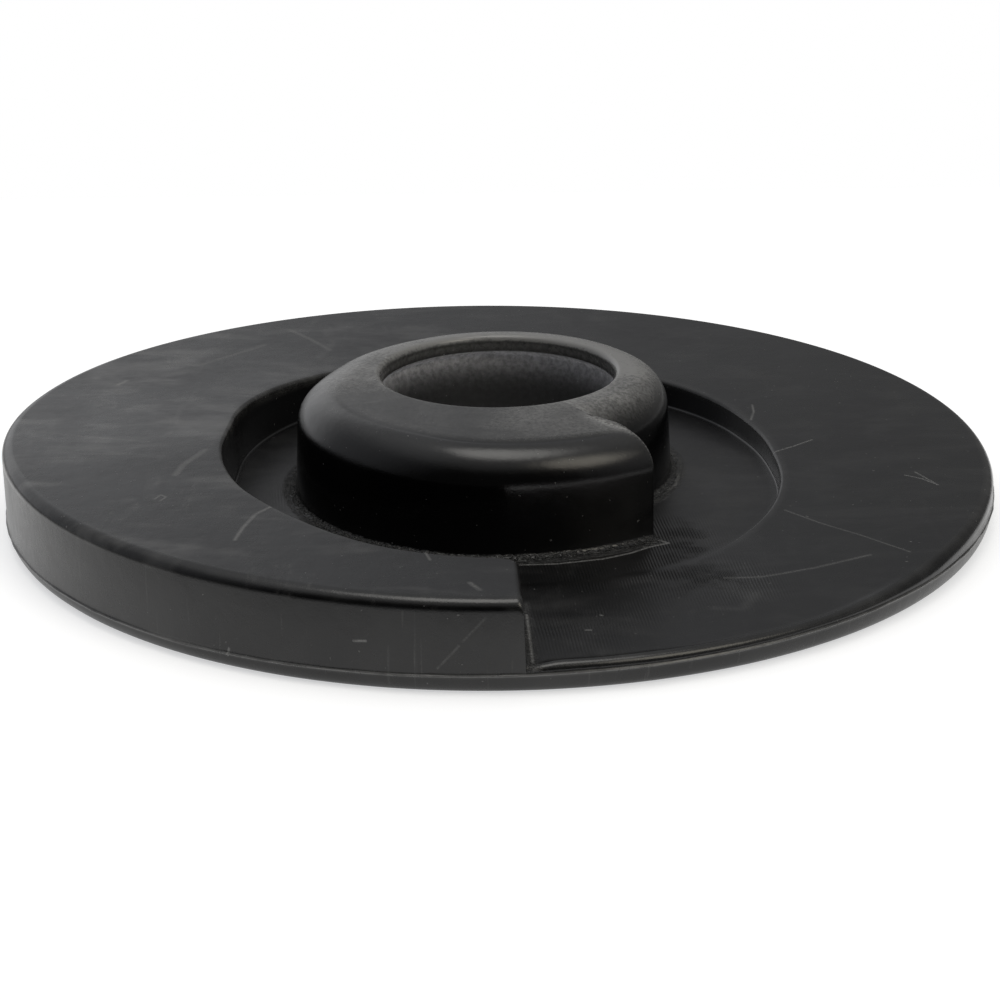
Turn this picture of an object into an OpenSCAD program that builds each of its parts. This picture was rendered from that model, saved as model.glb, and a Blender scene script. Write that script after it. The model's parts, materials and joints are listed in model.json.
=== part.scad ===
// Coil spring insulator: one moulded rubber piece, millimetres, +Z up, underside at z = 0.
// The origin is on the bore's axis. Angles run anticlockwise seen from above, 0 is along +X.
// The step of the ramp faces the front (-Y). From the step the outer ring starts thin and rises
// anticlockwise all the way round, until it stands at full height on the step's other side.

/* [Disc] */
// Outside radius at the parting line
disc_r = 82.5; // [76:0.5:92]
// Thickness of the thin start of the ring, and the height of the flat floor
floor_h = 4.2; // [3.6:0.1:5.4]
// Highest level of the ramp
ramp_h = 15; // [12:0.25:17.5]
// Rounding along the ring's top outer edge
edge_r = 1.8; // [1:0.1:2.4]
// Rounding under the outer edge, measured inward
under_r = 2; // [1:0.1:3]
// Height of the parting line, mean of both sides
parting_z = 3; // [2.6:0.1:3.2]
// How much higher the parting line is on the right than in the middle
parting_tilt = 0.7; // [0:0.1:0.8]
// Reach of the parting bead beyond the wall
bead_w = 0.3; // [0.1:0.05:0.5]

/* [Spring recess] */
// Radius of the recess's round wall
recess_r = 44.3; // [42:0.1:48]
// Radius of the wall where it leaves at the step
exit_r = 66; // [60:0.5:70]
// Radius of the wall where it fades out, right of the step
entry_r = 52; // [49:0.5:58]
// Rounding of the recess's top edge
lip_r = 0.7; // [0.3:0.1:1.2]
// Rounding at the foot of both walls
foot_r = 1; // [0.4:0.1:1.6]

/* [Hub] */
// Radius of the hub's round part
hub_r = 29; // [28:0.1:32]
// Radius of the hub at its step, where the spiral ends
hub_end_r = 41.5; // [37:0.1:42.5]
// Height of the hub's flat top
hub_h = 21.7; // [19.5:0.1:30]
// Height of the shoulder's curve
shoulder_h = 6.5; // [4:0.1:8]
// Width of the shoulder's curve at the front
shoulder_w = 5.6; // [3:0.1:5.8]
// How much the hub's wall leans in from its foot to the shoulder
hub_draft = 0.6; // [0:0.1:1]

/* [Bore] */
// Radius of the bore, and of its short lip near the top
bore_r = 19.6; // [16:0.1:20]
// Length of the straight lower bore
bore_len = 8; // [4:0.5:12]
// How much the hollow widens below the lip
hollow_w = 1.2; // [0.2:0.1:2]
// Height of the lip
lip_h = 1.7; // [0.6:0.1:2.2]
// Rounding of the bore's top edge
mouth_r = 1; // [0.6:0.1:2]

/* [Hidden] */
// Angle of the ramp's step, and the width of the face in degrees
STEP_A = 272;
FACE_A = 0.5;
// Angle at which the hub's step stands at its foot, its width, and its twist in degrees a millimetre
HUB_A = 306;
HUB_FACE_A = 0.7;
HUB_TWIST = 0.45;
// Radius of the rounded upright corners at the two steps
CORNER_R = 2.6;
HUB_CORNER_R = 0.8;
// Half of the lean of the recess's wall over its height
WALL_LEAN = 0.05;
// Everything inside this radius is cut away by the bore
CORE_R = bore_r - 2.5;
// Radius just outside the bore's mouth
NEAR_R = bore_r + mouth_r + 0.3;
// Share of the ramp's rise, by angle
RISE = [[-88, 0], [-58, 0], [-30, 0.2], [0, 0.33], [30, 0.4], [75, 0.49], [120, 0.61],
        [165, 0.81], [205, 1], [240, 0.98], [273, 0.93]];
// Share of the recess's widening to the step, by angle
EXIT = [[20, 0], [180, 0], [188, 0.025], [195, 0.085], [202, 0.17], [212, 0.3], [222, 0.437],
        [230, 0.534], [238, 0.64], [250, 0.83], [256, 0.905], [266, 0.975], [273, 1]];
// Share of the recess's widening right of the step, by angle
ENTRY = [[-60, 1.06], [-50, 1], [-35, 0.83], [-19, 0.52], [-5, 0.22], [7, 0.08], [20, 0]];
// Share of the hub's spiral growth, by angle
SPIRAL = [[-54, 0], [120, 0], [150, 0.07], [170, 0.2], [180, 0.29], [188, 0.38], [196, 0.45],
          [204, 0.53], [213, 0.62], [230, 0.77], [250, 0.92], [265, 1], [306, 1]];
// Width of the shoulder as a share of its width at the front, by angle: wide all round the back,
// narrow towards the hub's step
WIDTH = [[-54, 1.05], [5, 1.08], [26, 1.22], [45, 1.34], [155, 1.34], [172, 1.6], [188, 1.72],
         [205, 1.42], [225, 1.1], [240, 1], [255, 0.91], [266, 0.72], [280, 0.57], [298, 0.4],
         [306, 0.38]];
// Points of the elliptic shoulder and of the other roundings, as angles of a quarter turn
SHOULDER = [15, 30, 45, 60, 75, 90];
EDGE = [22, 45, 68, 90];

// Index of the interval of table t that holds x
function seat(t, x, i = 0) = i >= len(t) - 2 || x < t[i + 1][0] ? i : seat(t, x, i + 1);

// Slope of table t at station i, flat at its ends and wherever it turns
function slope(t, i) =
    i == 0 || i == len(t) - 1 ? 0 :
    let(a = (t[i][1] - t[i - 1][1]) / (t[i][0] - t[i - 1][0]),
        b = (t[i + 1][1] - t[i][1]) / (t[i + 1][0] - t[i][0]),
        m = (t[i + 1][1] - t[i - 1][1]) / (t[i + 1][0] - t[i - 1][0]))
    a * b <= 0 ? 0 : sign(m) * min(abs(m), 3 * abs(a), 3 * abs(b));

// Smooth value of table t at x: a cubic through its stations that never overshoots
function smooth(t, x) =
    let(i = seat(t, x), h = t[i + 1][0] - t[i][0], s = max(0, min(1, (x - t[i][0]) / h)),
        s2 = s * s, s3 = s2 * s)
    (2 * s3 - 3 * s2 + 1) * t[i][1] + (s3 - 2 * s2 + s) * h * slope(t, i)
    + (3 * s2 - 2 * s3) * t[i + 1][1] + (s3 - s2) * h * slope(t, i + 1);

// Angle folded into the turn that starts at the ramp's step
function fold(a) = a >= STEP_A ? a - 360 : a;
// The same for the hub, whose turn starts after the hub's step
function hub_fold(a) = let(b = a < HUB_A - 360 ? a + 360 : a) b > HUB_A ? b - 360 : b;

// Share of the step's height that is left at angle a past the ramp's end: round, wall, round
FACE = [[0, 1], [0.14, 0.985], [0.24, 0.94], [0.76, 0.09], [0.9, 0.025], [1.3, 0]];

// Top of the ring at angle a, in the folded turn, plus the fall over the step's face
function ring_z(a, fall) = floor_h + (ramp_h - floor_h) * smooth(RISE, a) * fall;

// Radius of the recess's wall at angle a
function recess(a) = a < 20
    ? recess_r + (entry_r - recess_r) * smooth(ENTRY, max(a, -60))
    : recess_r + (exit_r - recess_r) * smooth(EXIT, a);

// Extra radius of the recess's wall close to the step: a corner rounded in plan
CORNER_A = CORNER_R / exit_r * 180 / PI;
function corner(a) = let(t = max(0, 1 - (STEP_A - a) / CORNER_A))
    CORNER_R * (1 - sqrt(max(0, 1 - min(1, t) * min(1, t))));

// Radius of the hub at angle a, with its corner rounded in plan
HUB_CORNER_A = HUB_CORNER_R / hub_end_r * 180 / PI;
function hub_corner(a) = let(t = max(0, 1 - (HUB_A - a) / HUB_CORNER_A))
    HUB_CORNER_R * (1 - sqrt(max(0, 1 - min(1, t) * min(1, t))));
function hub(a) = hub_r + (hub_end_r - hub_r) * smooth(SPIRAL, a) - (a > 250 ? hub_corner(a) : 0);

// Width of the hub's shoulder at angle a, for a hub of radius h there: it stays clear of the bore
function shoulder(a, h) = min(shoulder_w * smooth(WIDTH, a), h - hub_draft - NEAR_R - 0.1);

// One section: [angle, recess radius, top of ring, hub radius, angle close to the bore, shoulder width]
function station(a, fall = 1) =
    let(f = fold(a), h = hub_fold(a))
    [a, f < -60 ? recess(-60) : recess(f) + (f > 240 ? corner(f) : 0), ring_z(f, fall), hub(h), a,
     shoulder(h, hub(h))];

// Plain angles round the turn
STEP = 4;
PLAIN = [for (a = [-84 : STEP : 268]) if (abs(a - (HUB_A - 360)) > 3.5) a];
// Angles of the rounded corner at the ramp's end
RAMP_END = [for (t = [0.35, 0.65, 0.85]) STEP_A - CORNER_A * (1 - t)];
// Angles of the hub's rounded corner and step
HUB_END = [for (t = [-0.4, 0.4, 0.95]) HUB_A - 360 - HUB_CORNER_A * (1 - t)];

BEFORE = [for (a = PLAIN) if (a < HUB_A - 360) a];
AFTER = [for (a = PLAIN) if (a > HUB_A - 360) a];

// The hub's step stands inside the turn: last section of the large end, first of the small start
function hub_start(a) = let(s = station(a)) [s[0], s[1], s[2], hub_r, a, shoulder(a, hub_r)];

// Close to the bore the sections of the ramp's step are spread out, SPREAD_A apart
SPREAD_A = 0.7;
function spread(s, i) = [s[0], s[1], s[2], s[3], 269 + SPREAD_A * (i + 1), s[5]];

STATIONS = concat(
    [for (a = BEFORE) station(a)],
    [for (a = HUB_END) station(a)],
    [hub_start(HUB_A - 360 + HUB_FACE_A), hub_start(HUB_A - 360 + HUB_FACE_A + 1.5)],
    [for (a = AFTER) if (a < STEP_A - CORNER_A - 1) station(a)],
    [for (i = [0 : len(RAMP_END) - 1]) spread(station(RAMP_END[i]), i)],
    [for (i = [0 : len(FACE) - 1]) let(s = station(STEP_A - 0.001), k = FACE[i])
        spread([STEP_A + FACE_A * k[0], s[1], floor_h + (s[2] - floor_h) * k[1], s[3], 0, s[5]],
               i + len(RAMP_END))]);

// Closed profile of one station as [radius, height] points, from the underside outward and back
function profile(s) =
    let(w = s[1], z = s[2], h = s[3], b = s[5],
        p = parting_z + parting_tilt * cos(s[0]),
        r0 = disc_r - bead_w)
    concat(
        [[CORE_R, 0], [NEAR_R, 0], [disc_r - under_r - bead_w, 0]],
        [for (t = [30, 60]) [r0 - under_r * (1 - sin(t)), (p - bead_w) * (1 - cos(t))]],
        [[r0, p - bead_w], [disc_r, p], [r0, p + bead_w]],
        [[r0 - 0.02, z - min(edge_r, z - p - 1.2 * bead_w)]],
        [for (t = EDGE) [r0 - edge_r * (1 - cos(t)),
                         z - min(edge_r, z - p - 1.2 * bead_w) * (1 - sin(t))]],
        [for (t = [90, 45, 0]) [w + WALL_LEAN + lip_r * (1 - cos(t)),
                                z - min(lip_r, (z - floor_h) / 2) * (1 - sin(t))]],
        [for (t = [0, 45, 90]) [w - WALL_LEAN - foot_r * (1 - cos(t)),
                                floor_h + min(foot_r, (z - floor_h) / 2) * (1 - sin(t))]],
        [for (t = [90, 45, 0]) [h + foot_r * (1 - cos(t)), floor_h + foot_r * (1 - sin(t))]],
        [[h - hub_draft, hub_h - shoulder_h]],
        [for (t = SHOULDER) [h - hub_draft - b * (1 - cos(t)), hub_h - shoulder_h * (1 - sin(t))]],
        [[NEAR_R, hub_h], [CORE_R, hub_h]]);

// Sections become points; the hub's points are twisted a little, so that its step stands slantwise
function placed(s) = [for (q = profile(s))
    let(out = max(0, min(1, (q[0] - hub_end_r - 2) / 8)),
        t = s[4] + (s[0] - s[4]) * out - HUB_TWIST * max(0, hub_end_r - max(q[0], hub_r)))
    [q[0] * cos(t), q[0] * sin(t), q[1]]];

// Solid between the sections, closed round the turn and round each section
module swept() {
    rows = [for (s = STATIONS) placed(s)];
    n = len(rows);
    m = len(rows[0]);
    points = [for (r = rows) each r];
    faces = [for (i = [0 : n - 1]) let(j = (i + 1) % n) for (k = [0 : m - 1]) let(l = (k + 1) % m)
        each [[i * m + k, i * m + l, j * m + l], [i * m + k, j * m + l, j * m + k]]];
    polyhedron(points = points, faces = faces, convexity = 8);
}

// Turned cutter for the bore: straight lower part, widened hollow, short lip, rounded mouth
module bore_cutter() {
    lip_z = hub_h - mouth_r - lip_h;
    rotate_extrude($fn = 96)
        polygon(concat(
            [[0, -1], [bore_r, -1], [bore_r, bore_len], [bore_r + hollow_w, lip_z - hollow_w / 2],
             [bore_r, lip_z], [bore_r, hub_h - mouth_r]],
            [for (t = [30, 60, 90]) [bore_r + mouth_r * (1 - cos(t)), hub_h - mouth_r * (1 - sin(t))]],
            [[bore_r + mouth_r, hub_h + 1], [0, hub_h + 1]]));
}

// The whole moulding
module insulator() {
    color([0.045, 0.046, 0.048])
        difference() {
            swept();
            bore_cutter();
        }
}

insulator();
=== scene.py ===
"""Dressed model of a coil spring insulator: one moulded rubber piece, in metres, +Z up.

The underside lies at z = 0 and the bore's axis is the Z axis. Angles run anticlockwise seen
from above, in degrees, with 0 along +X. The step of the ramp faces the front, -Y. Sizes are
in millimetres, and become metres where the mesh is written.
"""

import json
import logging
import math
from dataclasses import dataclass, field
from enum import Enum

import bpy
import numpy as np
from mathutils import Matrix, Vector

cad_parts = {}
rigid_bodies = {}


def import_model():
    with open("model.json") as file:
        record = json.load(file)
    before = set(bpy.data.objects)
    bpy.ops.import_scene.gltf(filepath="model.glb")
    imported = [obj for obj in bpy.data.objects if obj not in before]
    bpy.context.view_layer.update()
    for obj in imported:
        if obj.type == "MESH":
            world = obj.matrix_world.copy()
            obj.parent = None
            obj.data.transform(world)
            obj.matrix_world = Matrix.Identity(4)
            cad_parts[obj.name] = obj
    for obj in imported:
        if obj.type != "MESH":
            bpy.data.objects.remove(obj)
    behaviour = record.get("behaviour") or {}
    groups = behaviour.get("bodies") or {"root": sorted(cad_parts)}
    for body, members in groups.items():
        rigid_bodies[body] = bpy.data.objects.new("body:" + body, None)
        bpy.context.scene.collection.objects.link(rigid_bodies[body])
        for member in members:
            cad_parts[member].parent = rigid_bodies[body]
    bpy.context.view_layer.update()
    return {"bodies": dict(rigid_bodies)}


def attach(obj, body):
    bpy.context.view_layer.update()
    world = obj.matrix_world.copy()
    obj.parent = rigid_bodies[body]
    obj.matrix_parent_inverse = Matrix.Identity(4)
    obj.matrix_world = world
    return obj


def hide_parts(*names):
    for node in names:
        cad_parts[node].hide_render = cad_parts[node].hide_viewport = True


LOG = logging.getLogger("insulator")
MM = 0.001
TURN = 360.0


@dataclass(frozen=True)
class Curve:
    """Smooth curve through stations that never overshoots them.

    Between stations (x0, y0) and (x1, y1), with s = (x - x0) / h and h = x1 - x0, it is
    (2s^3 - 3s^2 + 1) y0 + (s^3 - 2s^2 + s) h m0 + (3s^2 - 2s^3) y1 + (s^3 - s^2) h m1.
    The slopes m are flat at both ends and wherever the stations turn.
    """

    stations: tuple[tuple[float, float], ...]

    def __call__(self, x: np.ndarray) -> np.ndarray:
        """Values of the curve.

        Args:
            x: Places, as an array of any shape.

        Returns:
            The curve's heights there, held constant beyond the end stations.
        """
        t = np.array(self.stations, float)
        h = np.diff(t[:, 0])
        rise = np.diff(t[:, 1]) / h
        chord = (t[2:, 1] - t[:-2, 1]) / (t[2:, 0] - t[:-2, 0])
        limit = 3 * np.minimum(abs(rise[:-1]), abs(rise[1:]))
        inner = np.where(rise[:-1] * rise[1:] <= 0, 0, np.sign(chord) * np.minimum(abs(chord), limit))
        m = np.concatenate([[0.0], inner, [0.0]])
        i = np.clip(np.searchsorted(t[:, 0], x, side="right") - 1, 0, len(h) - 1)
        s = np.clip((x - t[i, 0]) / h[i], 0, 1)
        s2, s3 = s * s, s * s * s
        return ((2 * s3 - 3 * s2 + 1) * t[i, 1] + (s3 - 2 * s2 + s) * h[i] * m[i]
                + (3 * s2 - 2 * s3) * t[i + 1, 1] + (s3 - s2) * h[i] * m[i + 1])


def arc(first: float, last: float, count: int) -> np.ndarray:
    """Angles of a rounding in radians, evenly spaced between two angles in degrees."""
    return np.radians(np.linspace(first, last, count))


def waves(angle: np.ndarray, seed: int, orders: tuple[int, ...]) -> np.ndarray:
    """Closed wavy line round the turn.

    It is the sum over the orders n of sin(n a + p) / sqrt(number of orders), with phases p
    drawn once from the seed, so it joins up after a full turn.

    Args:
        angle: Angles in degrees.
        seed: Seed of the phases.
        orders: Number of waves in a turn, for each term.

    Returns:
        Heights of about -1 to 1.
    """
    phases = np.random.default_rng(seed).uniform(0, 2 * np.pi, len(orders))
    a = np.radians(angle)
    return sum(np.sin(n * a + p) for n, p in zip(orders, phases)) / math.sqrt(len(orders))


class Zone(Enum):
    """Stretches of the section, in the order in which the profile runs round it."""

    UNDERSIDE = "underside"
    UNDER_ROUND = "under_round"
    BEAD = "bead"
    WALL = "wall"
    RIM = "rim"
    TOP = "top"
    LIP = "lip"
    RECESS_WALL = "recess_wall"
    FLOOR = "floor"
    HUB_FOOT = "hub_foot"
    HUB_WALL = "hub_wall"
    SHOULDER = "shoulder"
    CROWN = "crown"
    MOUTH = "mouth"
    BORE_LIP = "bore_lip"
    HOLLOW = "hollow"
    BORE = "bore"


Strip = tuple[Zone, np.ndarray, np.ndarray]


def strip(zone: Zone, radius: np.ndarray, height: np.ndarray) -> Strip:
    """One stretch of every section.

    Args:
        zone: What the stretch is.
        radius: Radii, one row a section and one column a point, or a shape that spreads to it.
        height: Heights in the same way.

    Returns:
        The zone with both arrays spread to one shape.
    """
    r, z = np.broadcast_arrays(radius, height)
    return zone, r, z


@dataclass
class RampRing:
    """Outer ring that starts thin at the step and climbs round the hub to full height."""

    disc_r: float = 82.5
    floor_h: float = 4.2
    ramp_h: float = 15.0
    edge_r: float = 1.8
    under_r: float = 2.0
    parting_z: float = 3.0
    parting_tilt: float = 0.7
    bead_w: float = 0.3
    rise: Curve = Curve(((-88, 0), (-58, 0), (-30, 0.2), (0, 0.33), (30, 0.4), (75, 0.49), (120, 0.61),
                         (165, 0.81), (205, 1), (240, 0.98), (273, 0.93)))
    lift: Curve = Curve(((-87, 0), (-84, 0.45), (-55, 0.45), (-38, 0)))

    def edge(self, angle: np.ndarray, top: np.ndarray) -> tuple[np.ndarray, np.ndarray, np.ndarray]:
        """Top edge of the rim: parting line's height, height of the edge and width of its rounding.

        The rounding is edge_r high and wide, or what fits between the parting line and the edge.
        """
        part = self.parting_z + self.parting_tilt * np.cos(np.radians(angle)) + 0.06 * waves(angle, 3, (7, 13, 29))
        crest = top + self.lift(angle)
        return part, crest, np.minimum(self.edge_r, crest - part - 1.2 * self.bead_w)

    def top(self, angle: np.ndarray, left: np.ndarray) -> np.ndarray:
        """Height of the ring: floor height plus the ramp's rise, times what the step leaves of it."""
        return self.floor_h + (self.ramp_h - self.floor_h) * self.rise(angle) * left

    def underside(self, inner: float) -> list[Strip]:
        """Flat underside, which ends just inside the rounding under its edge.

        The rounding itself, a quarter ellipse under_r wide and as high as the parting line's foot, is made with the
        rim.

        Args:
            inner: Radius at which the flat begins, at the bore.

        Returns:
            The flat stretch, running outward.
        """
        edge = self.disc_r - self.bead_w
        return [strip(Zone.UNDERSIDE, np.linspace(inner, edge - self.under_r - 0.5, 12), np.zeros(12))]

    def rim(self, angle: np.ndarray, top: np.ndarray) -> list[Strip]:
        """Rounding under the edge, moulding bead, outer wall and rounded top edge.

        The bead is a bump bead_w cos^2 high across the parting line, whose reach wavers round
        the turn. The top edge is a quarter circle, smaller where the ring is thin.

        Args:
            angle: Angle of each section, as a column.
            top: Height of the ring at each section, as a column.

        Returns:
            The stretches from the underside up to the ring's top.
        """
        part, crest, room = self.edge(angle, top)
        wall = self.disc_r - self.bead_w
        under = arc(4, 84, 9)
        low = part - self.bead_w
        bead = np.linspace(-1, 1, 9)
        reach = self.bead_w * np.clip(0.72 + 0.2 * waves(angle, 5, (17, 31, 53, 97)), 0.3, 1)
        high = crest - room
        foot = part + self.bead_w
        up = np.linspace(0.04, 0.96, 10)
        turn = arc(0, 86, 13)
        return [
            strip(Zone.UNDER_ROUND, wall - self.under_r * (1 - np.sin(under)), low * (1 - np.cos(under))),
            strip(Zone.BEAD, wall + reach * np.cos(bead * np.pi / 2) ** 2, part + self.bead_w * bead),
            strip(Zone.WALL, wall - 0.02 * up, foot + (high - foot) * up),
            strip(Zone.RIM, wall - 0.02 - room * (1 - np.cos(turn)), high + room * np.sin(turn)),
        ]


@dataclass
class SpringRecess:
    """Spiral recess round the hub, in which the spring's end coil lies."""

    recess_r: float = 44.3
    exit_r: float = 66.0
    entry_r: float = 52.0
    lip_r: float = 0.7
    foot_r: float = 0.4
    lean: float = 0.05
    corner_r: float = 2.6
    step_a: float = 272.0
    leaving: Curve = Curve(((20, 0), (180, 0), (188, 0.025), (195, 0.085), (202, 0.17), (212, 0.3), (222, 0.437),
                            (230, 0.534), (238, 0.64), (250, 0.83), (256, 0.905), (266, 0.975), (273, 1)))
    coming: Curve = Curve(((-60, 1.06), (-50, 1), (-35, 0.83), (-19, 0.52), (-5, 0.22), (7, 0.08), (20, 0)))

    @property
    def corner_a(self) -> float:
        """Width of the wall's rounded corner at the step, in degrees."""
        return math.degrees(self.corner_r / self.exit_r)

    def radius(self, angle: np.ndarray) -> np.ndarray:
        """Radius of the recess's wall.

        It widens from recess_r to exit_r towards the step and to entry_r past it. At the step
        its corner is rounded in plan: corner_r (1 - sqrt(1 - t^2)), with t from 0 to 1.

        Args:
            angle: Angles in the turn that starts after the step.

        Returns:
            Radii of the wall.
        """
        near = self.recess_r + (self.entry_r - self.recess_r) * self.coming(angle)
        far = self.recess_r + (self.exit_r - self.recess_r) * self.leaving(angle)
        t = np.clip(1 - (self.step_a - angle) / self.corner_a, 0, 1)
        return np.where(angle < 20, near, far + self.corner_r * (1 - np.sqrt(1 - t * t)))

    def wall(self, wall: np.ndarray, top: np.ndarray, floor: float) -> list[Strip]:
        """Ring's inner edge, recess wall and the fillet at its foot.

        Both roundings are quarter circles of at most 0.35 of the wall's height.

        Args:
            wall: Radius of the wall at each section, as a column.
            top: Height of the ring at each section, as a column.
            floor: Height of the floor.

        Returns:
            The stretches, running inward and down.
        """
        lip = np.minimum(self.lip_r, 0.35 * (top - floor))
        foot = np.minimum(self.foot_r, 0.35 * (top - floor))
        down, along = arc(88, 0, 8), arc(0, 90, 8)
        mid = np.linspace(0.2, 0.8, 4)
        hi, lo = top - lip, floor + foot
        return [
            strip(Zone.LIP, wall + self.lean + lip * (1 - np.cos(down)), top - lip * (1 - np.sin(down))),
            strip(Zone.RECESS_WALL, wall + self.lean * (1 - 2 * mid), hi + (lo - hi) * mid),
            strip(Zone.RECESS_WALL, wall - self.lean - foot * (1 - np.cos(along)),
                  floor + foot * (1 - np.sin(along))),
        ]


@dataclass
class Hub:
    """Snail-shaped hub: a round boss that grows outward in a spiral and ends in a step."""

    hub_r: float = 29.0
    hub_end_r: float = 41.5
    hub_h: float = 21.7
    shoulder_h: float = 6.5
    shoulder_w: float = 5.6
    foot_r: float = 1.0
    end_a: float = 306.0
    face_a: float = 0.7
    twist: float = 0.45
    corner_r: float = 0.8
    crease: float = 0.22
    crease_w: float = 0.65
    spiral: Curve = Curve(((-54, 0), (120, 0), (150, 0.07), (170, 0.2), (180, 0.29), (188, 0.38), (196, 0.45),
                           (204, 0.53), (213, 0.62), (230, 0.77), (250, 0.92), (265, 1), (306, 1)))
    breadth: Curve = Curve(((-54, 1.05), (5, 1.08), (26, 1.22), (45, 1.34), (155, 1.34), (172, 1.6), (188, 1.72),
                            (205, 1.42), (225, 1.1), (240, 1.02), (275, 1.13), (306, 1.16)))
    draft: Curve = Curve(((-54, 0.6), (215, 0.6), (245, 0.35), (275, 0.05), (306, 0.05)))
    droop: Curve = Curve(((-54, 0), (250, 0), (280, 0.25), (306, 0.4)))
    pressed: Curve = Curve(((-54, 0), (208, 0), (232, 0.8), (255, 1), (296, 1), (303, 0.5), (306, 0.1)))
    fold: Curve = Curve(((208, 6.7), (226, 6.35), (240, 6.1), (250, 5.9), (262, 5.3), (275, 5.05), (300, 4.95),
                         (306, 4.45)))

    @property
    def corner_a(self) -> float:
        """Width of the rounded corner at the hub's step, in degrees."""
        return math.degrees(self.corner_r / self.hub_end_r)

    def unwound(self, angle: np.ndarray) -> np.ndarray:
        """Angles moved into the hub's own turn, which starts after its step."""
        return np.where(angle < self.end_a - TURN, angle + TURN, angle)

    def radius(self, angle: np.ndarray) -> np.ndarray:
        """Foot radius: hub_r plus the spiral's growth, less the rounded corner at its end."""
        a = self.unwound(angle)
        t = np.where(a > 250, np.clip(1 - (self.end_a - a) / self.corner_a, 0, 1), 0)
        return self.hub_r + (self.hub_end_r - self.hub_r) * self.spiral(a) - self.corner_r * (1 - np.sqrt(1 - t * t))

    def wall_top(self, angle: np.ndarray, foot: np.ndarray) -> np.ndarray:
        """Radius at the top of the hub's wall: the foot's radius less the draft."""
        return foot - self.draft(self.unwound(angle))

    def shoulder(self, angle: np.ndarray, foot: np.ndarray, near: float) -> np.ndarray:
        """Width of the shoulder: wide round the back, and everywhere clear of the bore."""
        return np.minimum(self.shoulder_w * self.breadth(self.unwound(angle)), self.wall_top(angle, foot) - near - 0.4)

    def groove(self, angle: np.ndarray, foot: np.ndarray, r: np.ndarray) -> np.ndarray:
        """Depth of the crease: crease exp(-(d / crease_w)^2), with d the way from its line, fold inside the edge."""
        turned = self.unwound(angle)
        way = self.wall_top(angle, foot) - r - self.fold(turned)
        return self.crease * self.pressed(turned) * np.exp(-(way / self.crease_w) ** 2)

    def body(self, angle: np.ndarray, foot: np.ndarray, wall: np.ndarray, floor: float, near: float) -> list[Strip]:
        """Floor, foot fillet, drafted wall, elliptic shoulder and flat crown.

        The shoulder is x = width (1 - cos t), z = shoulder_h (1 - sin t). Towards the hub's step
        the crown sags a little, and round the front a soft groove lies near its edge.

        Args:
            angle: Angle of each section, as a column.
            foot: Radius of the hub's foot at each section, as a column.
            wall: Radius of the recess's wall at each section, as a column.
            floor: Height of the floor.
            near: Radius at which the crown ends, at the bore's mouth.

        Returns:
            The stretches, running inward and up.
        """
        outer = wall - 1.15
        inner = foot + self.foot_r + 0.05
        share = np.linspace(0.03, 0.97, 20)
        fillet = arc(90, 0, 9)
        low, high = floor + self.foot_r, self.hub_h - self.shoulder_h
        up = np.linspace(0.08, 1, 9)
        turn = arc(5, 86, 26)
        width = self.shoulder(angle, foot, near)
        wall_top = self.wall_top(angle, foot)
        edge = wall_top - width
        flat = np.linspace(0.03, 0.97, 12) ** 1.3
        sag = self.droop(self.unwound(angle))
        over = wall_top - width * (1 - np.cos(turn))
        crown = edge + (near - edge) * flat
        return [
            strip(Zone.FLOOR, outer + (inner - outer) * share, np.full((1, 20), floor)),
            strip(Zone.HUB_FOOT, foot + self.foot_r * (1 - np.cos(fillet)), floor + self.foot_r * (1 - np.sin(fillet))),
            strip(Zone.HUB_WALL, foot + (wall_top - foot) * up, low + (high - low) * up),
            strip(Zone.SHOULDER, over, self.hub_h - self.shoulder_h * (1 - np.sin(turn)) - sag * np.sin(turn) ** 2
                  - self.groove(angle, foot, over)),
            strip(Zone.CROWN, crown, self.hub_h - sag * (1 - flat) ** 2 - self.groove(angle, foot, crown)),
        ]


@dataclass
class Bore:
    """Centre hole: a straight lower part, a hollow that widens, a short lip and a rounded mouth."""

    bore_r: float = 19.6
    bore_len: float = 8.0
    hollow_w: float = 1.2
    lip_h: float = 1.7
    mouth_r: float = 1.0
    chamfer: float = 0.35

    def throat(self, hub_h: float) -> list[Strip]:
        """Mouth, lip, hollow and straight bore.

        The hollow widens from the straight part by hollow_w s^1.3 up to just below the lip, and
        turns back to it in a quarter wave.

        Args:
            hub_h: Height of the crown.

        Returns:
            The stretches, running down.
        """
        mouth = arc(88, 2, 10)
        top = hub_h - self.mouth_r
        ledge = top - self.lip_h
        lip = np.linspace(0.1, 0.9, 4)
        back = np.linspace(0, 1, 6)
        s = np.linspace(0.97, 0.02, 14)
        low = ledge - 1.3
        straight = np.linspace(1, 0, 5)
        foot = arc(0, 86, 5)
        return [
            strip(Zone.MOUTH, self.bore_r + self.mouth_r * (1 - np.cos(mouth)), top + self.mouth_r * np.sin(mouth)),
            strip(Zone.BORE_LIP, np.full(4, self.bore_r), top - self.lip_h * lip),
            strip(Zone.BORE_LIP, self.bore_r + self.hollow_w * (1 - np.cos(back * np.pi)) / 2, ledge - 1.3 * back),
            strip(Zone.HOLLOW, self.bore_r + self.hollow_w * s ** 1.3, self.bore_len + (low - self.bore_len) * s),
            strip(Zone.BORE, np.full(5, self.bore_r), self.chamfer + (self.bore_len - self.chamfer) * straight),
            strip(Zone.BORE, self.bore_r + self.chamfer * (1 - np.cos(foot)), self.chamfer * (1 - np.sin(foot))),
        ]


@dataclass(frozen=True)
class Mark:
    """Scuff or scratch that follows a few straight pieces.

    Points are x and y in millimetres on an upward face, or the angle in degrees and the height
    in millimetres on an upright one.
    """

    points: tuple[tuple[float, float], ...]
    width: float
    strength: float


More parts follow.
